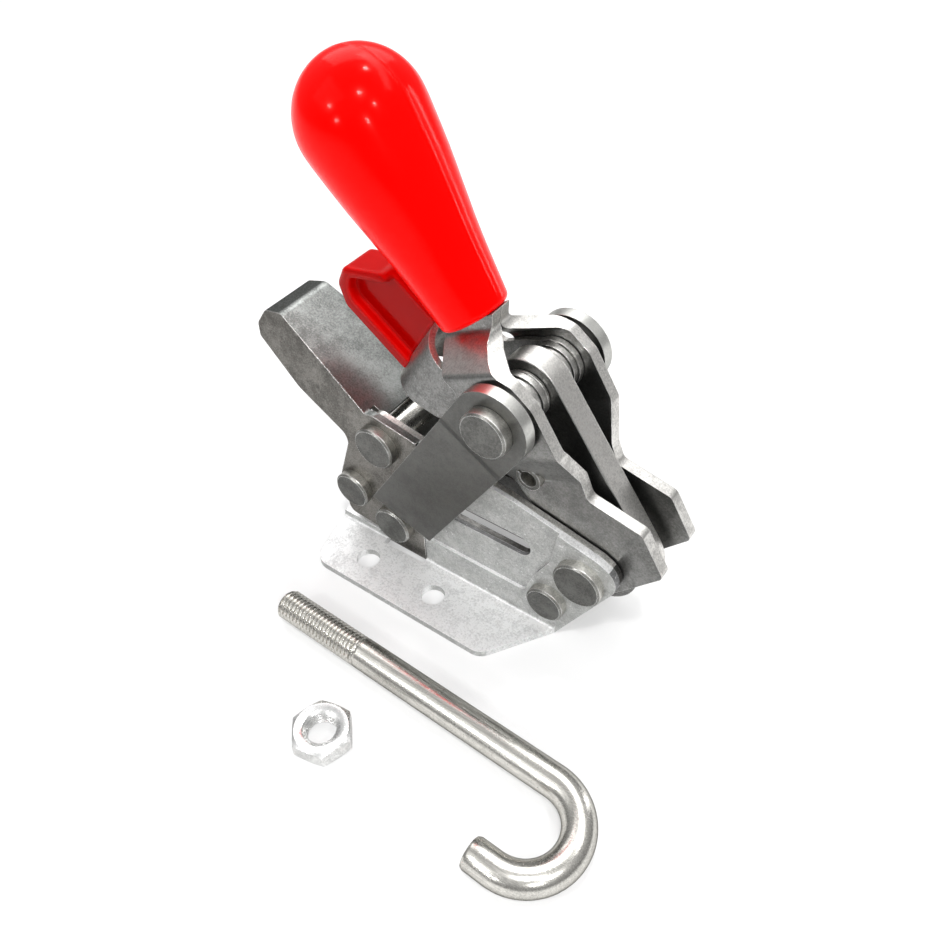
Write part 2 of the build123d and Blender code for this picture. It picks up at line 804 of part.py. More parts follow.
# ---- release pad: a web with a thick finger rim ----
pad_shoulder = (-28.0, 90.3)
pad_crown = (-30.2, 97.5)
pad_peak = (-27.3, 103.6)
pad_top = (-13.0, 106.2)
pad_points = [pad_shoulder, pad_crown, pad_peak, pad_top, pad_toe, (5.0, 92.0), pad_heel]
rim_angle = degrees(atan2(pad_heel[1] - pad_shoulder[1], pad_heel[0] - pad_shoulder[0]))
with BuildPart() as release_pad:
    with BuildSketch(Plane.XZ):
        with BuildLine():
            FilletPolyline(*pad_points, radius=[4, 4, 3, 3, 0, 0, 1], close=True)
        make_face()
    extrude(amount=pad_half_w, both=True)
    rim_edges = release_pad.faces().filter_by(Axis.Y).edges()
    fillet(rim_edges, 1.6)
    # recesses on both sides leave the rim along the finger side and the crown
    for side in (-1, 1):
        with BuildSketch(face_plane(side, pad_web_half)):
            with BuildLine():
                FilletPolyline(
                    along(pad_shoulder, rim_angle, pad_rim * 0.25, pad_rim),
                    along(pad_crown, 0.0, pad_rim, -pad_rim * 0.2),
                    along(pad_peak, -40.0, pad_rim * 0.75),
                    (pad_top[0] + 2.0, pad_top[1] - pad_rim * 0.4),
                    (pad_top[0] + 24.0, pad_top[1] - pad_rim),
                    (pad_heel[0] + 20.0, pad_heel[1] - 8.0),
                    along(pad_heel, rim_angle, 4.0, pad_rim),
                    radius=[4, 3, 2, 0, 0, 0, 0],
                    close=True,
                )
            make_face()
        extrude(amount=-side * 2 * pad_half_w, mode=Mode.SUBTRACT)
    add(strap_block.part, mode=Mode.SUBTRACT)
    with BuildSketch(strap_plane.offset(83.0 * cos(radians(strap_tilt)) - 1.0)):
        with Locations((tongue_root + tongue_len / 2, 0)):
            Rectangle(tongue_len + 2 * tang_fit, 2 * (tongue_half_t + tang_fit))
    extrude(amount=5.0 + tang_fit, both=True, mode=Mode.SUBTRACT)
finish(release_pad, "release_pad")

# ---- hook bolt lying on the floor ----
bolt_r = bolt_d / 2
hook_dir = Vector(cos(radians(hook_turn)), sin(radians(hook_turn)), 0)
hook_side = Vector(hook_dir.Y, -hook_dir.X, 0)
hook_from = Vector(hook_start[0], hook_start[1], bolt_r)
hook_bend = hook_from + hook_dir * hook_straight
hook_turned = hook_bend + hook_side * (2 * hook_bend_r)
with BuildPart() as hook_bolt:
    with BuildLine():
        Line(hook_from, hook_bend)
        ThreePointArc(
            hook_bend,
            hook_bend + hook_side * hook_bend_r + hook_dir * hook_bend_r,
            hook_turned,
        )
        Line(hook_turned, hook_turned - hook_dir * hook_tail)
    with BuildSketch(Plane(origin=hook_from, z_dir=hook_dir)):
        Circle(bolt_r)
    sweep()
    ends = hook_bolt.edges().filter_by(GeomType.CIRCLE).group_by(Axis.X)
    chamfer(ends[0], 1.0)
finish(hook_bolt, "hook_bolt")

# ---- hook nut lying beside it ----
with BuildPart() as hook_nut:
    with BuildSketch(Plane.XY):
        with Locations(nut_at):
            RegularPolygon(nut_flats / 2, 6, major_radius=False, rotation=nut_turn)
    extrude(amount=nut_t)
    with BuildSketch(Plane.XY):
        with Locations(nut_at):
            Circle(nut_flats / 2 * 1.09)
    extrude(amount=nut_t, mode=Mode.INTERSECT)
    with BuildSketch(Plane.XY):
        with Locations(nut_at):
            Circle(thread_core_r)
    extrude(amount=nut_t, mode=Mode.SUBTRACT)
    chamfer(hook_nut.edges().filter_by(GeomType.CIRCLE).sort_by(SortBy.RADIUS)[:2], thread_mouth)
finish(hook_nut, "hook_nut")
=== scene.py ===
import math

import bmesh
import bpy
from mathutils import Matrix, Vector


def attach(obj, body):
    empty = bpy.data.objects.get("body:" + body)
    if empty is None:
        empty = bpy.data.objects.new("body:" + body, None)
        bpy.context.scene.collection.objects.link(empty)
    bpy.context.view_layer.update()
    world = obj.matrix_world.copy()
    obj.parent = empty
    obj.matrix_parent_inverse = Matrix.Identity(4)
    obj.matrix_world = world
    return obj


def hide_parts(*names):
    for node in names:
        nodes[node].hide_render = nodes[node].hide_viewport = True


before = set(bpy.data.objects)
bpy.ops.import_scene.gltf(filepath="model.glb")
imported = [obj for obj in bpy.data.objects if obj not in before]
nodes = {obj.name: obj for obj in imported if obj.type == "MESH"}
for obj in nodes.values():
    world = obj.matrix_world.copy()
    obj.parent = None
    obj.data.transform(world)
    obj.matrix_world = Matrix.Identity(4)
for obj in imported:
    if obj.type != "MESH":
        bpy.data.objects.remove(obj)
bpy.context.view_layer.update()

mm = 0.001
metreInMm = 1000.0
print("frame loaded,", len(nodes), "nodes")

floatKind, vectorKind = "NodeSocketFloat", "NodeSocketVector"


# node helpers
def addNode(tree, kind, **values):
    made = tree.nodes.new(kind)
    for key, value in values.items():
        setattr(made, key, value)
    return made


def feed(tree, socket, value):
    if isinstance(value, bpy.types.NodeSocket):
        tree.links.new(value, socket)
    elif isinstance(value, (tuple, list)) and socket.type == "RGBA":
        socket.default_value = (*value[:3], 1.0)
    else:
        socket.default_value = value


def feedAll(tree, sockets, values):
    for key, value in values.items():
        feed(tree, sockets[key], value)


def maths(tree, operation, first, second=0.0, clamp=False):
    made = addNode(tree, "ShaderNodeMath", operation=operation, use_clamp=clamp)
    feedAll(tree, made.inputs, {0: first, 1: second})
    return made.outputs[0]


def vectorMaths(tree, operation, values):
    made = addNode(tree, "ShaderNodeVectorMath", operation=operation)
    feedAll(tree, made.inputs, values)
    return made.outputs["Value" if operation == "DOT_PRODUCT" else "Vector"]


def remap(tree, value, fromMin, fromMax, toMin=0.0, toMax=1.0):
    made = addNode(tree, "ShaderNodeMapRange", interpolation_type="SMOOTHSTEP")
    limits = {"From Min": fromMin, "From Max": fromMax, "To Min": toMin, "To Max": toMax}
    feedAll(tree, made.inputs, {"Value": value, **limits})
    return made.outputs["Result"]


def noiseFac(tree, vector, scale, detail=3.0, rough=0.55, distortion=0.0):
    made = addNode(tree, "ShaderNodeTexNoise")
    values = {"Scale": scale, "Detail": detail, "Roughness": rough, "Distortion": distortion}
    feedAll(tree, made.inputs, {"Vector": vector, **values})
    return made.outputs["Fac"]


def mixColor(tree, factor, first, second):
    made = addNode(tree, "ShaderNodeMix", data_type="RGBA")
    feedAll(tree, made.inputs, {0: factor, 6: first, 7: second})
    return made.outputs[2]


def newGroup(name, ins, outs):
    group = bpy.data.node_groups.new(name, "ShaderNodeTree")
    for label, kind, value in ins:
        socket = group.interface.new_socket(name=label, in_out="INPUT", socket_type=kind)
        if value is not None:
            socket.default_value = value
    for label, kind in outs:
        group.interface.new_socket(name=label, in_out="OUTPUT", socket_type=kind)
    return group, addNode(group, "NodeGroupInput").outputs, addNode(group, "NodeGroupOutput").inputs


def placeGroup(tree, group, values):
    made = addNode(tree, "ShaderNodeGroup", node_tree=group)
    feedAll(tree, made.inputs, values)
    return made.outputs


# cloudy tone of tumbled steel: broad clouds, small blotches and fine grain
def makeClouds():
    group, ins, outs = newGroup(
        "steelClouds",
        [
            ("Vector", vectorKind, None), ("Cloud Size", floatKind, 12.0), ("Grain Size", floatKind, 0.5),
            ("Cloud", floatKind, 0.6), ("Grain", floatKind, 0.4),
        ],
        [("Tone", floatKind), ("Grain", floatKind)],
    )
    blotchesPerCloud, blotchShare, middle = 4.5, 0.6, 0.5
    cloudScale = maths(group, "DIVIDE", metreInMm, ins["Cloud Size"])
    blotchScale = maths(group, "MULTIPLY", cloudScale, blotchesPerCloud)
    grainScale = maths(group, "DIVIDE", metreInMm, ins["Grain Size"])
    cloud = noiseFac(group, ins["Vector"], cloudScale, detail=5.0, rough=0.6, distortion=0.3)
    blotch = noiseFac(group, ins["Vector"], blotchScale, detail=3.0, rough=0.6)
    grain = noiseFac(group, ins["Vector"], grainScale, detail=2.0, rough=0.6)

    def swing(noise, amount):
        return maths(group, "MULTIPLY", maths(group, "SUBTRACT", noise, middle), amount)

    broad = swing(cloud, ins["Cloud"])
    small = swing(blotch, maths(group, "MULTIPLY", ins["Cloud"], blotchShare))
    total = maths(group, "ADD", maths(group, "ADD", broad, small), swing(grain, ins["Grain"]))
    feedAll(group, outs, {"Tone": maths(group, "ADD", total, middle, clamp=True), "Grain": grain})
    return group


# fine parallel lines left by rolling, drawing or turning
def makeLines():
    group, ins, outs = newGroup(
        "toolLines",
        [
            ("Vector", vectorKind, None), ("Along", vectorKind, (1.0, 0.0, 0.0)),
            ("Stretch", floatKind, 30.0), ("Line Width", floatKind, 0.25),
        ],
        [("Lines", floatKind)],
    )
    distance = vectorMaths(group, "DOT_PRODUCT", {0: ins["Vector"], 1: ins["Along"]})
    shrink = maths(group, "SUBTRACT", maths(group, "DIVIDE", 1.0, ins["Stretch"]), 1.0)
    shortened = maths(group, "MULTIPLY", distance, shrink)
    shift = vectorMaths(group, "SCALE", {0: ins["Along"], "Scale": shortened})
    stretched = vectorMaths(group, "ADD", {0: ins["Vector"], 1: shift})
    lineScale = maths(group, "DIVIDE", metreInMm, ins["Line Width"])
    feed(group, outs["Lines"], noiseFac(group, stretched, lineScale, detail=2.0, rough=0.5))
    return group


# light edges, partly wear and partly a painted highlight, and the rounded normal that goes with them
def makeEdges():
    group, ins, outs = newGroup(
        "edgeWearAndHighlight",
        [
            ("Vector", vectorKind, None), ("Radius", floatKind, 0.0004), ("Wear And Highlight", floatKind, 1.0),
            ("Breakup", floatKind, 0.5),
        ],
        [("Edge", floatKind), ("Normal", vectorKind)],
    )
    bevel = addNode(group, "ShaderNodeBevel", samples=4)
    feed(group, bevel.inputs["Radius"], ins["Radius"])
    geometry = addNode(group, "ShaderNodeNewGeometry").outputs
    agreement = vectorMaths(group, "DOT_PRODUCT", {0: bevel.outputs[0], 1: geometry["True Normal"]})
    mask = remap(group, maths(group, "SUBTRACT", 1.0, agreement), fromMin=0.01, fromMax=0.09)
    patches = noiseFac(group, ins["Vector"], scale=700.0, detail=3.0, rough=0.6)
    broken = maths(group, "MULTIPLY", remap(group, patches, fromMin=0.3, fromMax=0.65), ins["Breakup"])
    keep = maths(group, "ADD", maths(group, "SUBTRACT", 1.0, ins["Breakup"]), broken)
    edge = maths(group, "MULTIPLY", maths(group, "MULTIPLY", mask, keep), ins["Wear And Highlight"], clamp=True)
    feedAll(group, outs, {"Edge": edge, "Normal": bevel.outputs[0]})
    return group


# how far a surface faces along an axis of the object: 1 on the sheet's faces, 0 on its cut edges; the
# finishes use it to paint light and shade by the way a surface faces
def makeFacing():
    group, ins, outs = newGroup(
        "sheetFacing", [("Axis", vectorKind, (0.0, 1.0, 0.0))], [("Face", floatKind)]
    )
    geometry = addNode(group, "ShaderNodeNewGeometry").outputs
    agreement = vectorMaths(group, "DOT_PRODUCT", {0: geometry["True Normal"], 1: ins["Axis"]})
    feed(group, outs["Face"], remap(group, maths(group, "ABSOLUTE", agreement), fromMin=0.35, fromMax=0.85))
    return group


# small bright flecks in patches, as on zinc plate
def makeFlecks():
    group, ins, outs = newGroup(
        "zincFlecks",
        [("Vector", vectorKind, None), ("Amount", floatKind, 0.5), ("Size", floatKind, 1.1)],
        [("Flecks", floatKind)],
    )
    patchShare = 0.22
    fleckScale = maths(group, "DIVIDE", metreInMm, ins["Size"])
    patchScale = maths(group, "MULTIPLY", fleckScale, patchShare)
    fleckNoise = noiseFac(group, ins["Vector"], fleckScale, detail=3.0, rough=0.75, distortion=0.6)
    patchNoise = noiseFac(group, ins["Vector"], patchScale, detail=2.0, rough=0.6)
    spots = remap(group, fleckNoise, fromMin=0.56, fromMax=0.72)
    patches = remap(group, patchNoise, fromMin=0.35, fromMax=0.65)
    flecks = maths(group, "MULTIPLY", maths(group, "MULTIPLY", spots, patches), ins["Amount"], clamp=True)
    feed(group, outs["Flecks"], flecks)
    return group


clouds, lines, edges = makeClouds(), makeLines(), makeEdges()
facing, zincFlecks = makeFacing(), makeFlecks()
toneLow, toneHigh = 0.2, 0.8  # the part of the cloudy tone that is spread out
acrossPlates = (0.0, 1.0, 0.0)


def newMaterial(name):
    material = bpy.data.materials.new(name)
    material.use_nodes = True
    tree = material.node_tree
    place = addNode(tree, "ShaderNodeTexCoord").outputs["Object"]
    return material, tree, tree.nodes["Principled BSDF"].inputs, place


def placeClouds(tree, place, look):
    return placeGroup(tree, clouds, {
        "Vector": place, "Cloud Size": look["cloudSize"], "Grain Size": look["grainSize"],
        "Cloud": look["cloud"], "Grain": look["grain"],
    })


def bumpNormal(tree, strength, depth, height, normal):
    bump = addNode(tree, "ShaderNodeBump")
    values = {"Strength": strength, "Distance": depth * mm, "Height": height, "Normal": normal}
    feedAll(tree, bump.inputs, values)
    return bump.outputs[0]


# lengths in mm; a band of heights can darken the cut faces, a painted shade inside the slots
steelDefaults = {
    "cloud": 0.9, "cloudSize": 9.0, "grain": 0.9, "grainSize": 0.55, "contrast": 0.45, "roughness": 0.36,
    "roughnessSwing": 0.08, "wearAndHighlight": 0.75, "radius": 0.3, "bump": 0.3, "bumpDepth": 0.04, "axis": acrossPlates,
    "along": None, "lineAmount": 0.0, "lineWidth": 0.25, "lineLow": 0.3, "lineHigh": 0.7, "flecks": 0.0,
    "edgeTint": 0.6, "metallic": 1.0, "slotShadeBand": None, "slotShadeShare": 0.25,
}


# the cut colour, with a painted shade between the two heights of the slot band, inside the slots
def cutColor(tree, place, look):
    if not look["slotShadeBand"]:
        return look["cut"]
    height = addNode(tree, "ShaderNodeSeparateXYZ")
    feed(tree, height.inputs[0], place)
    low, high = (limit * mm for limit in look["slotShadeBand"])
    above = maths(tree, "GREATER_THAN", height.outputs["Z"], low)
    inside = maths(tree, "MULTIPLY", above, maths(tree, "LESS_THAN", height.outputs["Z"], high))
    return mixColor(tree, inside, look["cut"], [value * look["slotShadeShare"] for value in look["cut"]])


# light and dark of the surface: clouds, and tool lines where the piece was turned or drawn
def steelTone(tree, place, look, cloudTone):
    contrast, amount = look["contrast"], look["lineAmount"]
    tone = remap(tree, cloudTone, toneLow, toneHigh, 1.0 - contrast, 1.0 + contrast)
    if not look["along"]:
        return tone
    values = {"Vector": place, "Along": look["along"], "Line Width": look["lineWidth"]}
    found = placeGroup(tree, lines, values)["Lines"]
    streak = remap(tree, found, look["lineLow"], look["lineHigh"], 1.0 - amount, 1.0 + amount)
    return maths(tree, "MULTIPLY", tone, streak)


def steel(name, settings):
    look = {**steelDefaults, **settings}
    material, tree, shader, place = newMaterial(name)
    shader["Metallic"].default_value = look["metallic"]
    shader["Specular Tint"].default_value = (look["edgeTint"], look["edgeTint"], look["edgeTint"], 1.0)
    cloudOut = placeClouds(tree, place, look)
    edgeOut = placeGroup(tree, edges, {
        "Vector": place, "Radius": look["radius"] * mm, "Wear And Highlight": look["wearAndHighlight"],
    })
    # colour by the way a surface faces, face along the axis and cut elsewhere: partly burnished cut sides,
    # partly painted light and shade
    face = placeGroup(tree, facing, {"Axis": look["axis"]})["Face"]
    base = mixColor(tree, face, cutColor(tree, place, look), look["face"])
    tone = steelTone(tree, place, look, cloudOut["Tone"])
    shaded = vectorMaths(tree, "SCALE", {0: base, "Scale": tone})
    # edges lighter in colour: partly wear, partly a painted highlight
    bright = edgeOut["Edge"]
    if look["flecks"]:
        fleck = placeGroup(tree, zincFlecks, {"Vector": place, "Amount": look["flecks"]})["Flecks"]
        bright = maths(tree, "MAXIMUM", bright, fleck)
    dull, shiny = look["roughness"] + look["roughnessSwing"], look["roughness"] - look["roughnessSwing"]
    feedAll(tree, shader, {
        "Base Color": mixColor(tree, bright, shaded, look["edge"]),
        "Roughness": remap(tree, cloudOut["Tone"], toneLow, toneHigh, dull, shiny),
        "Normal": bumpNormal(tree, look["bump"], look["bumpDepth"], cloudOut["Grain"], edgeOut["Normal"]),
    })
    return material


# lengths in mm; streaks run along the piece, as flow marks do
plasticDefaults = {
    "roughness": 0.17, "smoother": 0.05, "rougher": 0.1, "coat": 0.08, "coatRoughness": 0.07,
    "specular": 0.08, "specularTint": (1.0, 0.35, 0.3), "sideShade": 1.0, "darkest": 0.86, "lightest": 1.06,
    "cloud": 0.8, "cloudSize": 16.0, "grain": 0.15, "grainSize": 0.35,
    "streaks": 0.25, "streakAlong": (0.0, 0.0, 1.0), "streakStretch": 40.0, "streakWidth": 1.6,
    "rounding": 0.8, "rimHighlight": 0.12, "rimHighlightBreakup": 0.15, "rimHighlightGain": 1.3, "rimHighlightLift": 0.02,
    "bump": 0.35, "bumpDepth": 0.12, "grainBump": 0.05,
}


def redPlastic(name, settings):
    look = {**plasticDefaults, **settings}
    color = look["color"]
    material, tree, shader, place = newMaterial(name)
    shader["Coat Roughness"].default_value = look["coatRoughness"]
    shader["Coat Weight"].default_value = look["coat"]
    shader["Specular IOR Level"].default_value = look["specular"]
    shader["Specular Tint"].default_value = (*look["specularTint"], 1.0)
    cloudOut = placeClouds(tree, place, look)
    edgeOut = placeGroup(tree, edges, {
        "Vector": place, "Radius": look["rounding"] * mm, "Wear And Highlight": look["rimHighlight"],
        "Breakup": look["rimHighlightBreakup"],
    })
    flow = placeGroup(tree, lines, {
        "Vector": place, "Along": look["streakAlong"], "Stretch": look["streakStretch"],
        "Line Width": look["streakWidth"],
    })["Lines"]
    darkest = [value * look["darkest"] for value in color]
    lightest = [min(1.0, value * look["lightest"]) for value in color]
    deep = mixColor(tree, cloudOut["Tone"], darkest, lightest)
    # faces along the plates' axis darkened by sideShade: painted shade, as of the pad's recess under the grip
    if look["sideShade"] < 1.0:
        side = placeGroup(tree, facing, {"Axis": acrossPlates})["Face"]
        deep = mixColor(tree, side, deep, [value * look["sideShade"] for value in color])
    # rounded edges painted lighter: a painted highlight on the rim
    rimHighlightColor = [min(1.0, value * look["rimHighlightGain"] + look["rimHighlightLift"]) for value in color]
    streak = maths(tree, "MULTIPLY", flow, look["streaks"])
    height = maths(tree, "ADD", streak, maths(tree, "MULTIPLY", cloudOut["Grain"], look["grainBump"]))
    smooth, rough = look["roughness"] - look["smoother"], look["roughness"] + look["rougher"]
    feedAll(tree, shader, {
        "Base Color": mixColor(tree, edgeOut["Edge"], deep, rimHighlightColor),
        "Roughness": remap(tree, cloudOut["Tone"], toneLow, toneHigh, smooth, rough),
        "Normal": bumpNormal(tree, look["bump"], look["bumpDepth"], height, edgeOut["Normal"]),
    })
    return material


def paint(piece, material):
    piece.data.materials.clear()
    piece.data.materials.append(material)


# heights in mm of the painted shade inside the slots
slotShadeHeights = (20, 42)
# face colours the surfaces that face along the finish's axis, cut the others; their difference stands partly
# for burnished cut sides and partly for painted light and shade by the way a surface faces; edge colours the
# worn edges, partly real wear and partly a painted highlight
steelFinishes = {
    "plateSteel": {
        "face": (0.221, 0.221, 0.215), "edge": (0.864, 0.853, 0.832), "cut": (0.676, 0.663, 0.637),
        "contrast": 0.28, "flecks": 0.2,
    },
    "innerSteel": {
        "face": (0.195, 0.195, 0.189), "edge": (0.756, 0.745, 0.724), "cut": (0.65, 0.637, 0.611),
        "contrast": 0.3, "wearAndHighlight": 0.6, "slotShadeBand": slotShadeHeights,
    },
    "leverSteel": {
        "face": (0.202, 0.195, 0.182), "edge": (0.918, 0.907, 0.886), "cut": (0.195, 0.202, 0.195),
        "cloudSize": 14.0, "flecks": 0.12, "contrast": 0.35, "edgeTint": 0.25, "wearAndHighlight": 1.0, "radius": 0.5,
    },
    "flangeSteel": {
        "face": (0.42, 0.425, 0.415), "edge": (0.93, 0.93, 0.93), "cut": (0.93, 0.93, 0.93), "cloudSize": 4.0,
        "contrast": 0.2, "flecks": 0.8, "roughness": 0.46, "metallic": 0.55, "slotShadeBand": slotShadeHeights,
    },
    "linkSteel": {
        "face": (0.13, 0.13, 0.124), "edge": (0.594, 0.594, 0.572), "cut": (0.585, 0.585, 0.559),
        "contrast": 0.12, "grain": 0.7,
    },
    "washerSteel": {
        "face": (0.195, 0.195, 0.189), "edge": (0.918, 0.907, 0.886), "cut": (0.65, 0.637, 0.611),
        "wearAndHighlight": 1.0, "contrast": 0.3,
    },
    "headSteel": {
        "face": (0.137, 0.137, 0.13), "edge": (0.93, 0.93, 0.918), "cut": (0.65, 0.637, 0.598),
        "contrast": 0.25, "wearAndHighlight": 1.0,
    },
    "shaftSteel": {
        "face": (0.65, 0.637, 0.598), "edge": (0.864, 0.853, 0.821), "cut": (0.65, 0.637, 0.598),
        "roughness": 0.3, "along": (0, 1, 0), "lineAmount": 0.2, "contrast": 0.2, "bump": 0.1, "wearAndHighlight": 0.4,
    },
    "boltSteel": {
        "face": (0.611, 0.598, 0.559), "edge": (0.864, 0.853, 0.832), "cut": (0.611, 0.598, 0.559),
        "cloud": 0.4, "contrast": 0.2, "grain": 0.5, "roughness": 0.25, "wearAndHighlight": 0.0, "radius": 0.02,
        "bump": 0.04, "along": (1, 0, 0), "lineAmount": 0.16, "edgeTint": 0.15,
    },
    "nutSteel": {
        "face": (0.93, 0.93, 0.923), "edge": (0.93, 0.93, 0.93), "cut": (0.78, 0.78, 0.767), "contrast": 0.25,
        "roughness": 0.26, "axis": (0, 0, 1), "wearAndHighlight": 0.5, "bump": 0.08,
    },
}
gripAngle = 126.1  # lean of the grip, in degrees up from +X
gripLean = math.radians(gripAngle)
plasticFinishes = {
    "gripRed": {"color": (0.97, 0.0003, 0.0), "streakAlong": (math.cos(gripLean), 0.0, math.sin(gripLean))},
    # the pad's red is darker than the grip's, its sides darker still and its rim lighter: painted shade of
    # the recess, and a painted highlight on the rim
    "padRed": {
        "color": (0.62, 0.0002, 0.0), "streaks": 0.1, "streakAlong": (-0.75, 0.0, 0.66), "rounding": 2.2,
        "sideShade": 0.5, "rimHighlight": 0.5,
    },
}
materials = {name: steel(name, settings) for name, settings in steelFinishes.items()}
materials.update({name: redPlastic(name, settings) for name, settings in plasticFinishes.items()})

# the first row whose words are in a node's name gives its finish
finishRows = (
    (("handle_grip",), "gripRed"),
    (("release_pad",), "padRed"),
    (("hook_bolt",), "boltSteel"),
    (("hook_nut",), "nutSteel"),
    (("base_angle",), "flangeSteel"),
    (("side_plate",), "innerSteel"),
    (("draw_link",), "linkSteel"),
    (("squeeze_lever",), "leverSteel"),
    (("washer", "bush"), "washerSteel"),
    (("spacer", "barrel"), "shaftSteel"),
    (("rivet", "pin"), "headSteel"),
)
for name, node in nodes.items():
    chosen = [finish for words, finish in finishRows if any(word in name for word in words)]
    paint(node, materials[chosen[0] if chosen else "plateSteel"])
print("steel and plastic finishes set")


# a mesh from rings of points, each ring closed; caps fill the first and last rings
def ringMesh(name, rings, caps=True, sharp=40.0):
    count = len(rings[0])
    points = [point for ring in rings for point in ring]
    faces = []
    for row in range(len(rings) - 1):
        for column in range(count):
            here, there = row * count + column, row * count + (column + 1) % count
            faces.append((here, there, there + count, here + count))
    if caps:
        faces.append(tuple(reversed(range(count))))
        faces.append(tuple(range(len(points) - count, len(points))))
    mesh = bpy.data.meshes.new(name)
    mesh.from_pydata([tuple(point) for point in points], [], faces)
    mesh.polygons.foreach_set("use_smooth", [True] * len(faces))
    mesh.set_sharp_from_angle(angle=math.radians(sharp))
    piece = bpy.data.objects.new(name, mesh)
    bpy.context.scene.collection.objects.link(piece)
    return piece


# hook bolt: straight threaded shank, half-turn hook and a short tail
boltSettings = {
    "start": (-22.5, -58.1), "turn": -1.5, "straight": 105.2, "bendRadius": 14.8, "tail": 7.3, "radius": 5.0,
    "chamfer": 0.9, "tailChamferShare": 0.45, "endInset": 0.35,
    "threadLength": 34.0, "pitch": 1.5, "threadDepth": 0.62, "fade": 3.0, "grooveMiddle": 0.55,
    "grooveSwing": 0.85,
    "around": 84, "stepsPerPitch": 10, "plainStep": 2.5, "bendSteps": 40, "endStep": 0.02,
}


def boltPiece(bolt):
    turn = math.radians(bolt["turn"])
    along = Vector((math.cos(turn), math.sin(turn), 0))
    side = Vector((math.sin(turn), -math.cos(turn), 0))
    start, up = Vector((*bolt["start"], bolt["radius"])), Vector((0, 0, 1))
    straight, threadLength, chamfer = bolt["straight"], bolt["threadLength"], bolt["chamfer"]
    bend = math.pi * bolt["bendRadius"]
    total = straight + bend + bolt["tail"]
    bendCentre = start + along * straight + side * bolt["bendRadius"]

    def frameAt(s):
        if s <= straight:
            return start + along * s, -side
        angle = min(s - straight, bend) / bolt["bendRadius"]
        outward = -side * math.cos(angle) + along * math.sin(angle)
        centre = bendCentre + outward * bolt["bendRadius"]
        return centre - along * max(0.0, s - straight - bend), outward

    step = bolt["pitch"] / bolt["stepsPerPitch"]
    plainStep, bendSteps = bolt["plainStep"], bolt["bendSteps"]
    stations = [0.0, bolt["endStep"]] + [step * i for i in range(1, int(threadLength / step))]
    stations += [threadLength + plainStep * i for i in range(int((straight - threadLength) / plainStep))]
    stations += [straight + bend * i / bendSteps for i in range(bendSteps + 1)]
    stations += [total - bolt["tail"] / 2, total - chamfer, total - chamfer / 2]
    stations += [total - bolt["endStep"], total]
    rings = []
    for s in stations:
        centre, outward = frameAt(s)
        toEnd = min(s, total - s)
        chamferShare = 1.0 if s < total / 2 else bolt["tailChamferShare"]
        limit = bolt["radius"] - max(0.0, chamfer - toEnd) * chamferShare
        fade = min(1.0, max(0.0, (threadLength - s) / bolt["fade"]))
        ring = []
        for i in range(bolt["around"]):
            angle = 2 * math.pi * i / bolt["around"]
            wave = math.cos(2 * math.pi * s / bolt["pitch"] - angle)
            share = min(1.0, max(0.0, bolt["grooveMiddle"] - bolt["grooveSwing"] * wave))
            radius = min(bolt["radius"] - share * bolt["threadDepth"] * fade, limit)
            if toEnd == 0.0:
                radius -= bolt["endInset"]
            ring.append((centre + (outward * math.cos(angle) + up * math.sin(angle)) * radius) * mm)
        rings.append(ring)
    piece = ringMesh("hookBolt", rings)
    paint(piece, materials["boltSteel"])
    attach(piece, "base")
    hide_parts("hook_bolt")


boltPiece(boltSettings)
print("hook bolt made")

# hexagon nut with turned corners and an inside thread
nutSettings = {
    "place": (17.9, -86.0), "flats": 17.0, "height": 6.0, "turn": 12.0, "faceRadius": 8.1, "cornerDrop": 0.6,
    "mouth": 5.6, "mouthLip": 0.12, "mouthDrop": 0.1, "mouthSlope": 0.6,
    "core": 4.5, "threadDepth": 0.55, "pitch": 1.5, "around": 96, "stepsPerPitch": 8,
    "sharpAngle": 28.0, "mergeDistance": 1e-7,
}


def nutPiece(nut):
    half, centre = nut["height"] / 2, Vector((*nut["place"], nut["height"] / 2))
    mouth, lip, core, pitch = nut["mouth"], nut["mouth"] + nut["mouthLip"], nut["core"], nut["pitch"]
    angles = [2 * math.pi * i / nut["around"] for i in range(nut["around"])]

    def hexRadius(angle):
        return nut["flats"] / 2 / math.cos((angle % (math.pi / 3)) - math.pi / 6)

    def circle(radius, z):
        return [(radius, z)] * nut["around"]

    def cornerHeight(radius):
        return half - max(0.0, radius - nut["faceRadius"]) * nut["cornerDrop"]

    corner = [(hexRadius(a), cornerHeight(hexRadius(a))) for a in angles]
    profile = [circle(lip, half), circle(nut["faceRadius"], half), corner, [(r, -z) for r, z in corner]]
    profile += [circle(nut["faceRadius"], -half), circle(lip, -half)]
    profile.append(circle(mouth, -half + nut["mouthDrop"]))
    inner = half - (mouth - core) * nut["mouthSlope"]
    rows = int(2 * inner / pitch * nut["stepsPerPitch"])
    for row in range(rows + 1):
        z = -inner + 2 * inner * row / rows
        waves = [0.5 + 0.5 * math.cos(2 * math.pi * z / pitch - a) for a in angles]
        profile.append([(core + nut["threadDepth"] * wave, z) for wave in waves])
    profile.append(circle(mouth, half - nut["mouthDrop"]))
    turn = math.radians(nut["turn"])
    rings = []
    for ring in profile:
        spots = [(r * math.cos(a + turn), r * math.sin(a + turn), z) for (r, z), a in zip(ring, angles)]
        rings.append([(centre + Vector(spot)) * mm for spot in spots])
    piece = ringMesh("hookNut", list(reversed(rings + [rings[0]])), caps=False, sharp=nut["sharpAngle"])
    made = bmesh.new()
    made.from_mesh(piece.data)
    bmesh.ops.remove_doubles(made, verts=made.verts, dist=nut["mergeDistance"])
    bmesh.ops.recalc_face_normals(made, faces=made.faces)
    made.to_mesh(piece.data)
    made.free()
    paint(piece, materials["nutSteel"])
    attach(piece, "base")
    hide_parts("hook_nut")


nutPiece(nutSettings)
print("hook nut made")

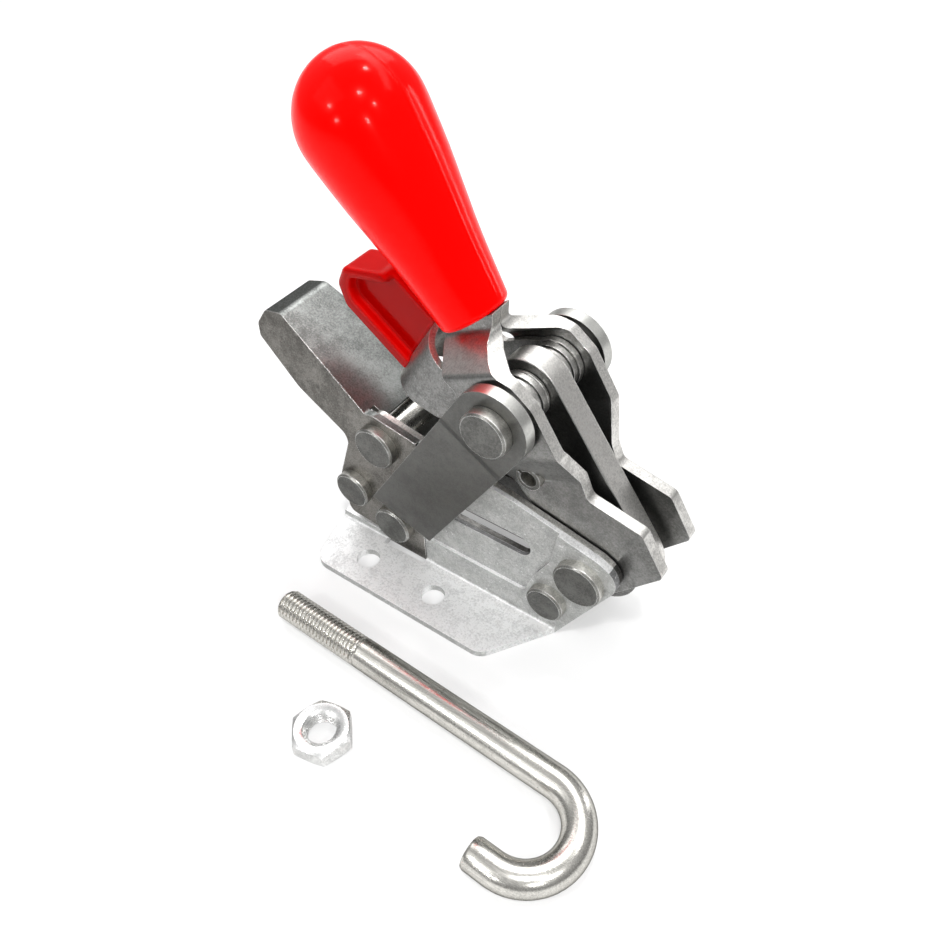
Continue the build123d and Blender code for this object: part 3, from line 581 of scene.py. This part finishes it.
# moulded grip: a pear shape with a parting ridge on its middle plane
# profile is (height, radius) from its foot
gripSettings = {
    "foot": (15.5, 100.0), "length": 57.8, "footEdge": 1.8,
    "profile": ((0.0, 10.4), (20.0, 12.7), (40.0, 15.9), (50.0, 17.2), (57.8, 17.9)),
    "ridgeHeight": 0.16, "ridgeWidth": 0.35, "ridgeStart": 3.0, "widestRidge": 0.3, "smallestRing": 1.0,
    "around": 120, "seamSteps": 3, "footSteps": 6, "bodySteps": 44, "topSteps": 36, "sharpAngle": 60.0,
}


def gripPiece(grip):
    along = Vector((math.cos(gripLean), 0, math.sin(gripLean)))
    across = Vector((math.sin(gripLean), 0, -math.cos(gripLean)))
    foot, yAxis = Vector((grip["foot"][0], 0, grip["foot"][1])), Vector((0, 1, 0))
    points, edge, length = grip["profile"], grip["footEdge"], grip["length"]
    bulb, ridgeHeight, halfTurn = points[-1][1], grip["ridgeHeight"], grip["around"] // 2

    # smooth curve through the profile's points, level where the bulb starts
    def radiusAt(height):
        for (lowH, lowR), (highH, highR) in zip(points, points[1:]):
            if height <= highH:
                break
        k = points.index((lowH, lowR))
        beforeH, beforeR = points[max(0, k - 1)]
        afterH, afterR = points[min(len(points) - 1, k + 2)]
        t = (height - lowH) / (highH - lowH)
        lowSlope = (highR - beforeR) / (highH - beforeH) * (highH - lowH)
        last = k + 2 >= len(points)
        highSlope = 0.0 if last else (afterR - lowR) / (afterH - lowH) * (highH - lowH)
        fromLow = (2 * t**3 - 3 * t**2 + 1) * lowR + (t**3 - 2 * t**2 + t) * lowSlope
        return fromLow + (3 * t**2 - 2 * t**3) * highR + (t**3 - t**2) * highSlope

    stations = [(0.0, radiusAt(edge) - edge)]
    for i in range(1, grip["footSteps"] + 1):
        angle = math.pi / 2 * i / grip["footSteps"]
        stations.append((edge - edge * math.cos(angle), radiusAt(edge) - edge + edge * math.sin(angle)))
    bodySteps = grip["bodySteps"]
    heights = [edge + (length - edge) * i / bodySteps for i in range(1, bodySteps + 1)]
    stations += [(height, radiusAt(height)) for height in heights]
    for i in range(1, grip["topSteps"]):
        angle = math.pi / 2 * i / grip["topSteps"]
        stations.append((length + bulb * math.sin(angle), bulb * math.cos(angle)))
    rings = []
    for height, radius in stations:
        width = min(grip["ridgeWidth"] / radius, grip["widestRidge"])
        seamSteps = grip["seamSteps"]
        seam = [width * k / seamSteps for k in range(-seamSteps, seamSteps + 1)]
        half = [width + (math.pi - 2 * width) * (k + 1) / (halfTurn + 1) for k in range(halfTurn)]
        lift = ridgeHeight * min(1.0, max(0.0, (height - edge) / grip["ridgeStart"]))
        ring = []
        for angle in seam + half + [math.pi + a for a in seam + half]:
            off = abs(math.remainder(angle, math.pi)) / width
            ridged = radius - ridgeHeight + lift * max(0.0, 1.0 - off)
            r = ridged if radius > grip["smallestRing"] else radius
            outward = across * math.cos(angle) + yAxis * math.sin(angle)
            ring.append((foot + along * height + outward * r) * mm)
        rings.append(ring)
    piece = ringMesh("handleGrip", rings, sharp=grip["sharpAngle"])
    paint(piece, materials["gripRed"])
    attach(piece, "handle")
    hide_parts("handle_grip")


gripPiece(gripSettings)
print("handle grip made")

# pale floor: partly a plain white where it is seen or mirrored, and it keeps the object's shadow
floorSettings = {
    "size": 6.0, "drop": 0.0002, "color": (0.9, 0.9, 0.9), "glow": 0.35, "glowColor": (1.0, 1.0, 1.0),
}
bpy.ops.mesh.primitive_plane_add(size=floorSettings["size"], location=(0, 0, -floorSettings["drop"]))
floor = bpy.context.object
floor.name = "floor"
floorMaterial = bpy.data.materials.new("paleFloor")
floorMaterial.use_nodes = True
tree = floorMaterial.node_tree
tree.nodes.remove(tree.nodes["Principled BSDF"])
diffuse = addNode(tree, "ShaderNodeBsdfDiffuse")
feed(tree, diffuse.inputs["Color"], floorSettings["color"])
glow = addNode(tree, "ShaderNodeEmission")
feed(tree, glow.inputs["Color"], floorSettings["glowColor"])
path = addNode(tree, "ShaderNodeLightPath").outputs
mirrored = maths(tree, "MAXIMUM", path["Is Glossy Ray"], path["Is Transmission Ray"])
seen = maths(tree, "MAXIMUM", path["Is Camera Ray"], mirrored)
mix = addNode(tree, "ShaderNodeMixShader")
feedAll(tree, mix.inputs, {
    0: maths(tree, "MULTIPLY", seen, floorSettings["glow"]), 1: diffuse.outputs[0], 2: glow.outputs[0],
})
feed(tree, tree.nodes["Material Output"].inputs["Surface"], mix.outputs[0])
floor.data.materials.append(floorMaterial)

# soft room light, paler overhead than at the horizon
worldSettings = {"low": (0.42, 0.42, 0.42), "high": (1.0, 1.0, 1.0), "highFrom": 0.8, "strength": 0.55}
world = bpy.data.worlds.new("studio")
bpy.context.scene.world = world
world.use_nodes = True
tree = world.node_tree
background = tree.nodes["Background"]
split = addNode(tree, "ShaderNodeSeparateXYZ")
feed(tree, split.inputs[0], addNode(tree, "ShaderNodeTexCoord").outputs["Generated"])
rise = remap(tree, split.outputs["Z"], 0.0, worldSettings["highFrom"])
feed(tree, background.inputs["Color"], mixColor(tree, rise, worldSettings["low"], worldSettings["high"]))
background.inputs["Strength"].default_value = worldSettings["strength"]

# places and sizes in metres, power in watts
lampSettings = [
    {"name": "keySoft", "place": (-0.42, 0.50, 0.72), "size": (0.9, 0.6), "power": 3.2},
    {"name": "fillSoft", "place": (-0.5, -0.7, 0.9), "size": (0.9, 0.7), "power": 1.2},
    {"name": "topStrip", "place": (0.10, 0.45, 0.9), "size": (1.1, 0.16), "power": 2.2},
    {"name": "backStrip", "place": (0.33, 0.72, 0.18), "size": (0.07, 0.5), "power": 0.8},
]
lampTarget = Vector((0.01, 0.0, 0.05))
# small round ceiling lamps that show as separate points in gloss: x, y, z, size
spotSettings = {
    "brightness": 240.0,
    "places": (
        (0.27, -0.30, 0.91, 0.10), (-0.26, -0.69, 0.61, 0.075), (0.60, -0.21, 0.71, 0.07),
        (-0.03, -0.83, 0.41, 0.06), (0.58, -0.52, 0.50, 0.06), (-0.02, 0.24, 0.97, 0.08),
    ),
}
for number, (x, y, z, size) in enumerate(spotSettings["places"], 1):
    lampSettings.append({
        "name": f"ceilingSpot{number}", "place": (x, y, z), "size": (size, size),
        "power": spotSettings["brightness"] * size**2,
    })
for settings in lampSettings:
    data = bpy.data.lights.new(settings["name"], "AREA")
    data.shape = "ELLIPSE" if settings["size"][0] == settings["size"][1] else "RECTANGLE"
    data.energy = settings["power"]
    data.size, data.size_y = settings["size"]
    lamp = bpy.data.objects.new(settings["name"], data)
    bpy.context.scene.collection.objects.link(lamp)
    lamp.location = settings["place"]
    lamp.rotation_mode = "QUATERNION"
    lamp.rotation_quaternion = (Vector(settings["place"]) - lampTarget).to_track_quat("Z", "Y")

cameraSettings = {
    "lens": 34.45, "sensor": 36.0, "nearest": 0.01, "place": (0.13729, -0.16611, 0.24610),
    "turn": (44.651, 1.39, 35.383),
}
cameraData = bpy.data.cameras.new("camera")
cameraData.lens = cameraSettings["lens"]
cameraData.sensor_width = cameraSettings["sensor"]
cameraData.clip_start = cameraSettings["nearest"]
camera = bpy.data.objects.new("camera", cameraData)
bpy.context.scene.collection.objects.link(camera)
camera.location = cameraSettings["place"]
camera.rotation_euler = [math.radians(angle) for angle in cameraSettings["turn"]]
bpy.context.scene.camera = camera
bpy.context.scene.view_settings.view_transform = "Standard"
print("camera and lamps set")
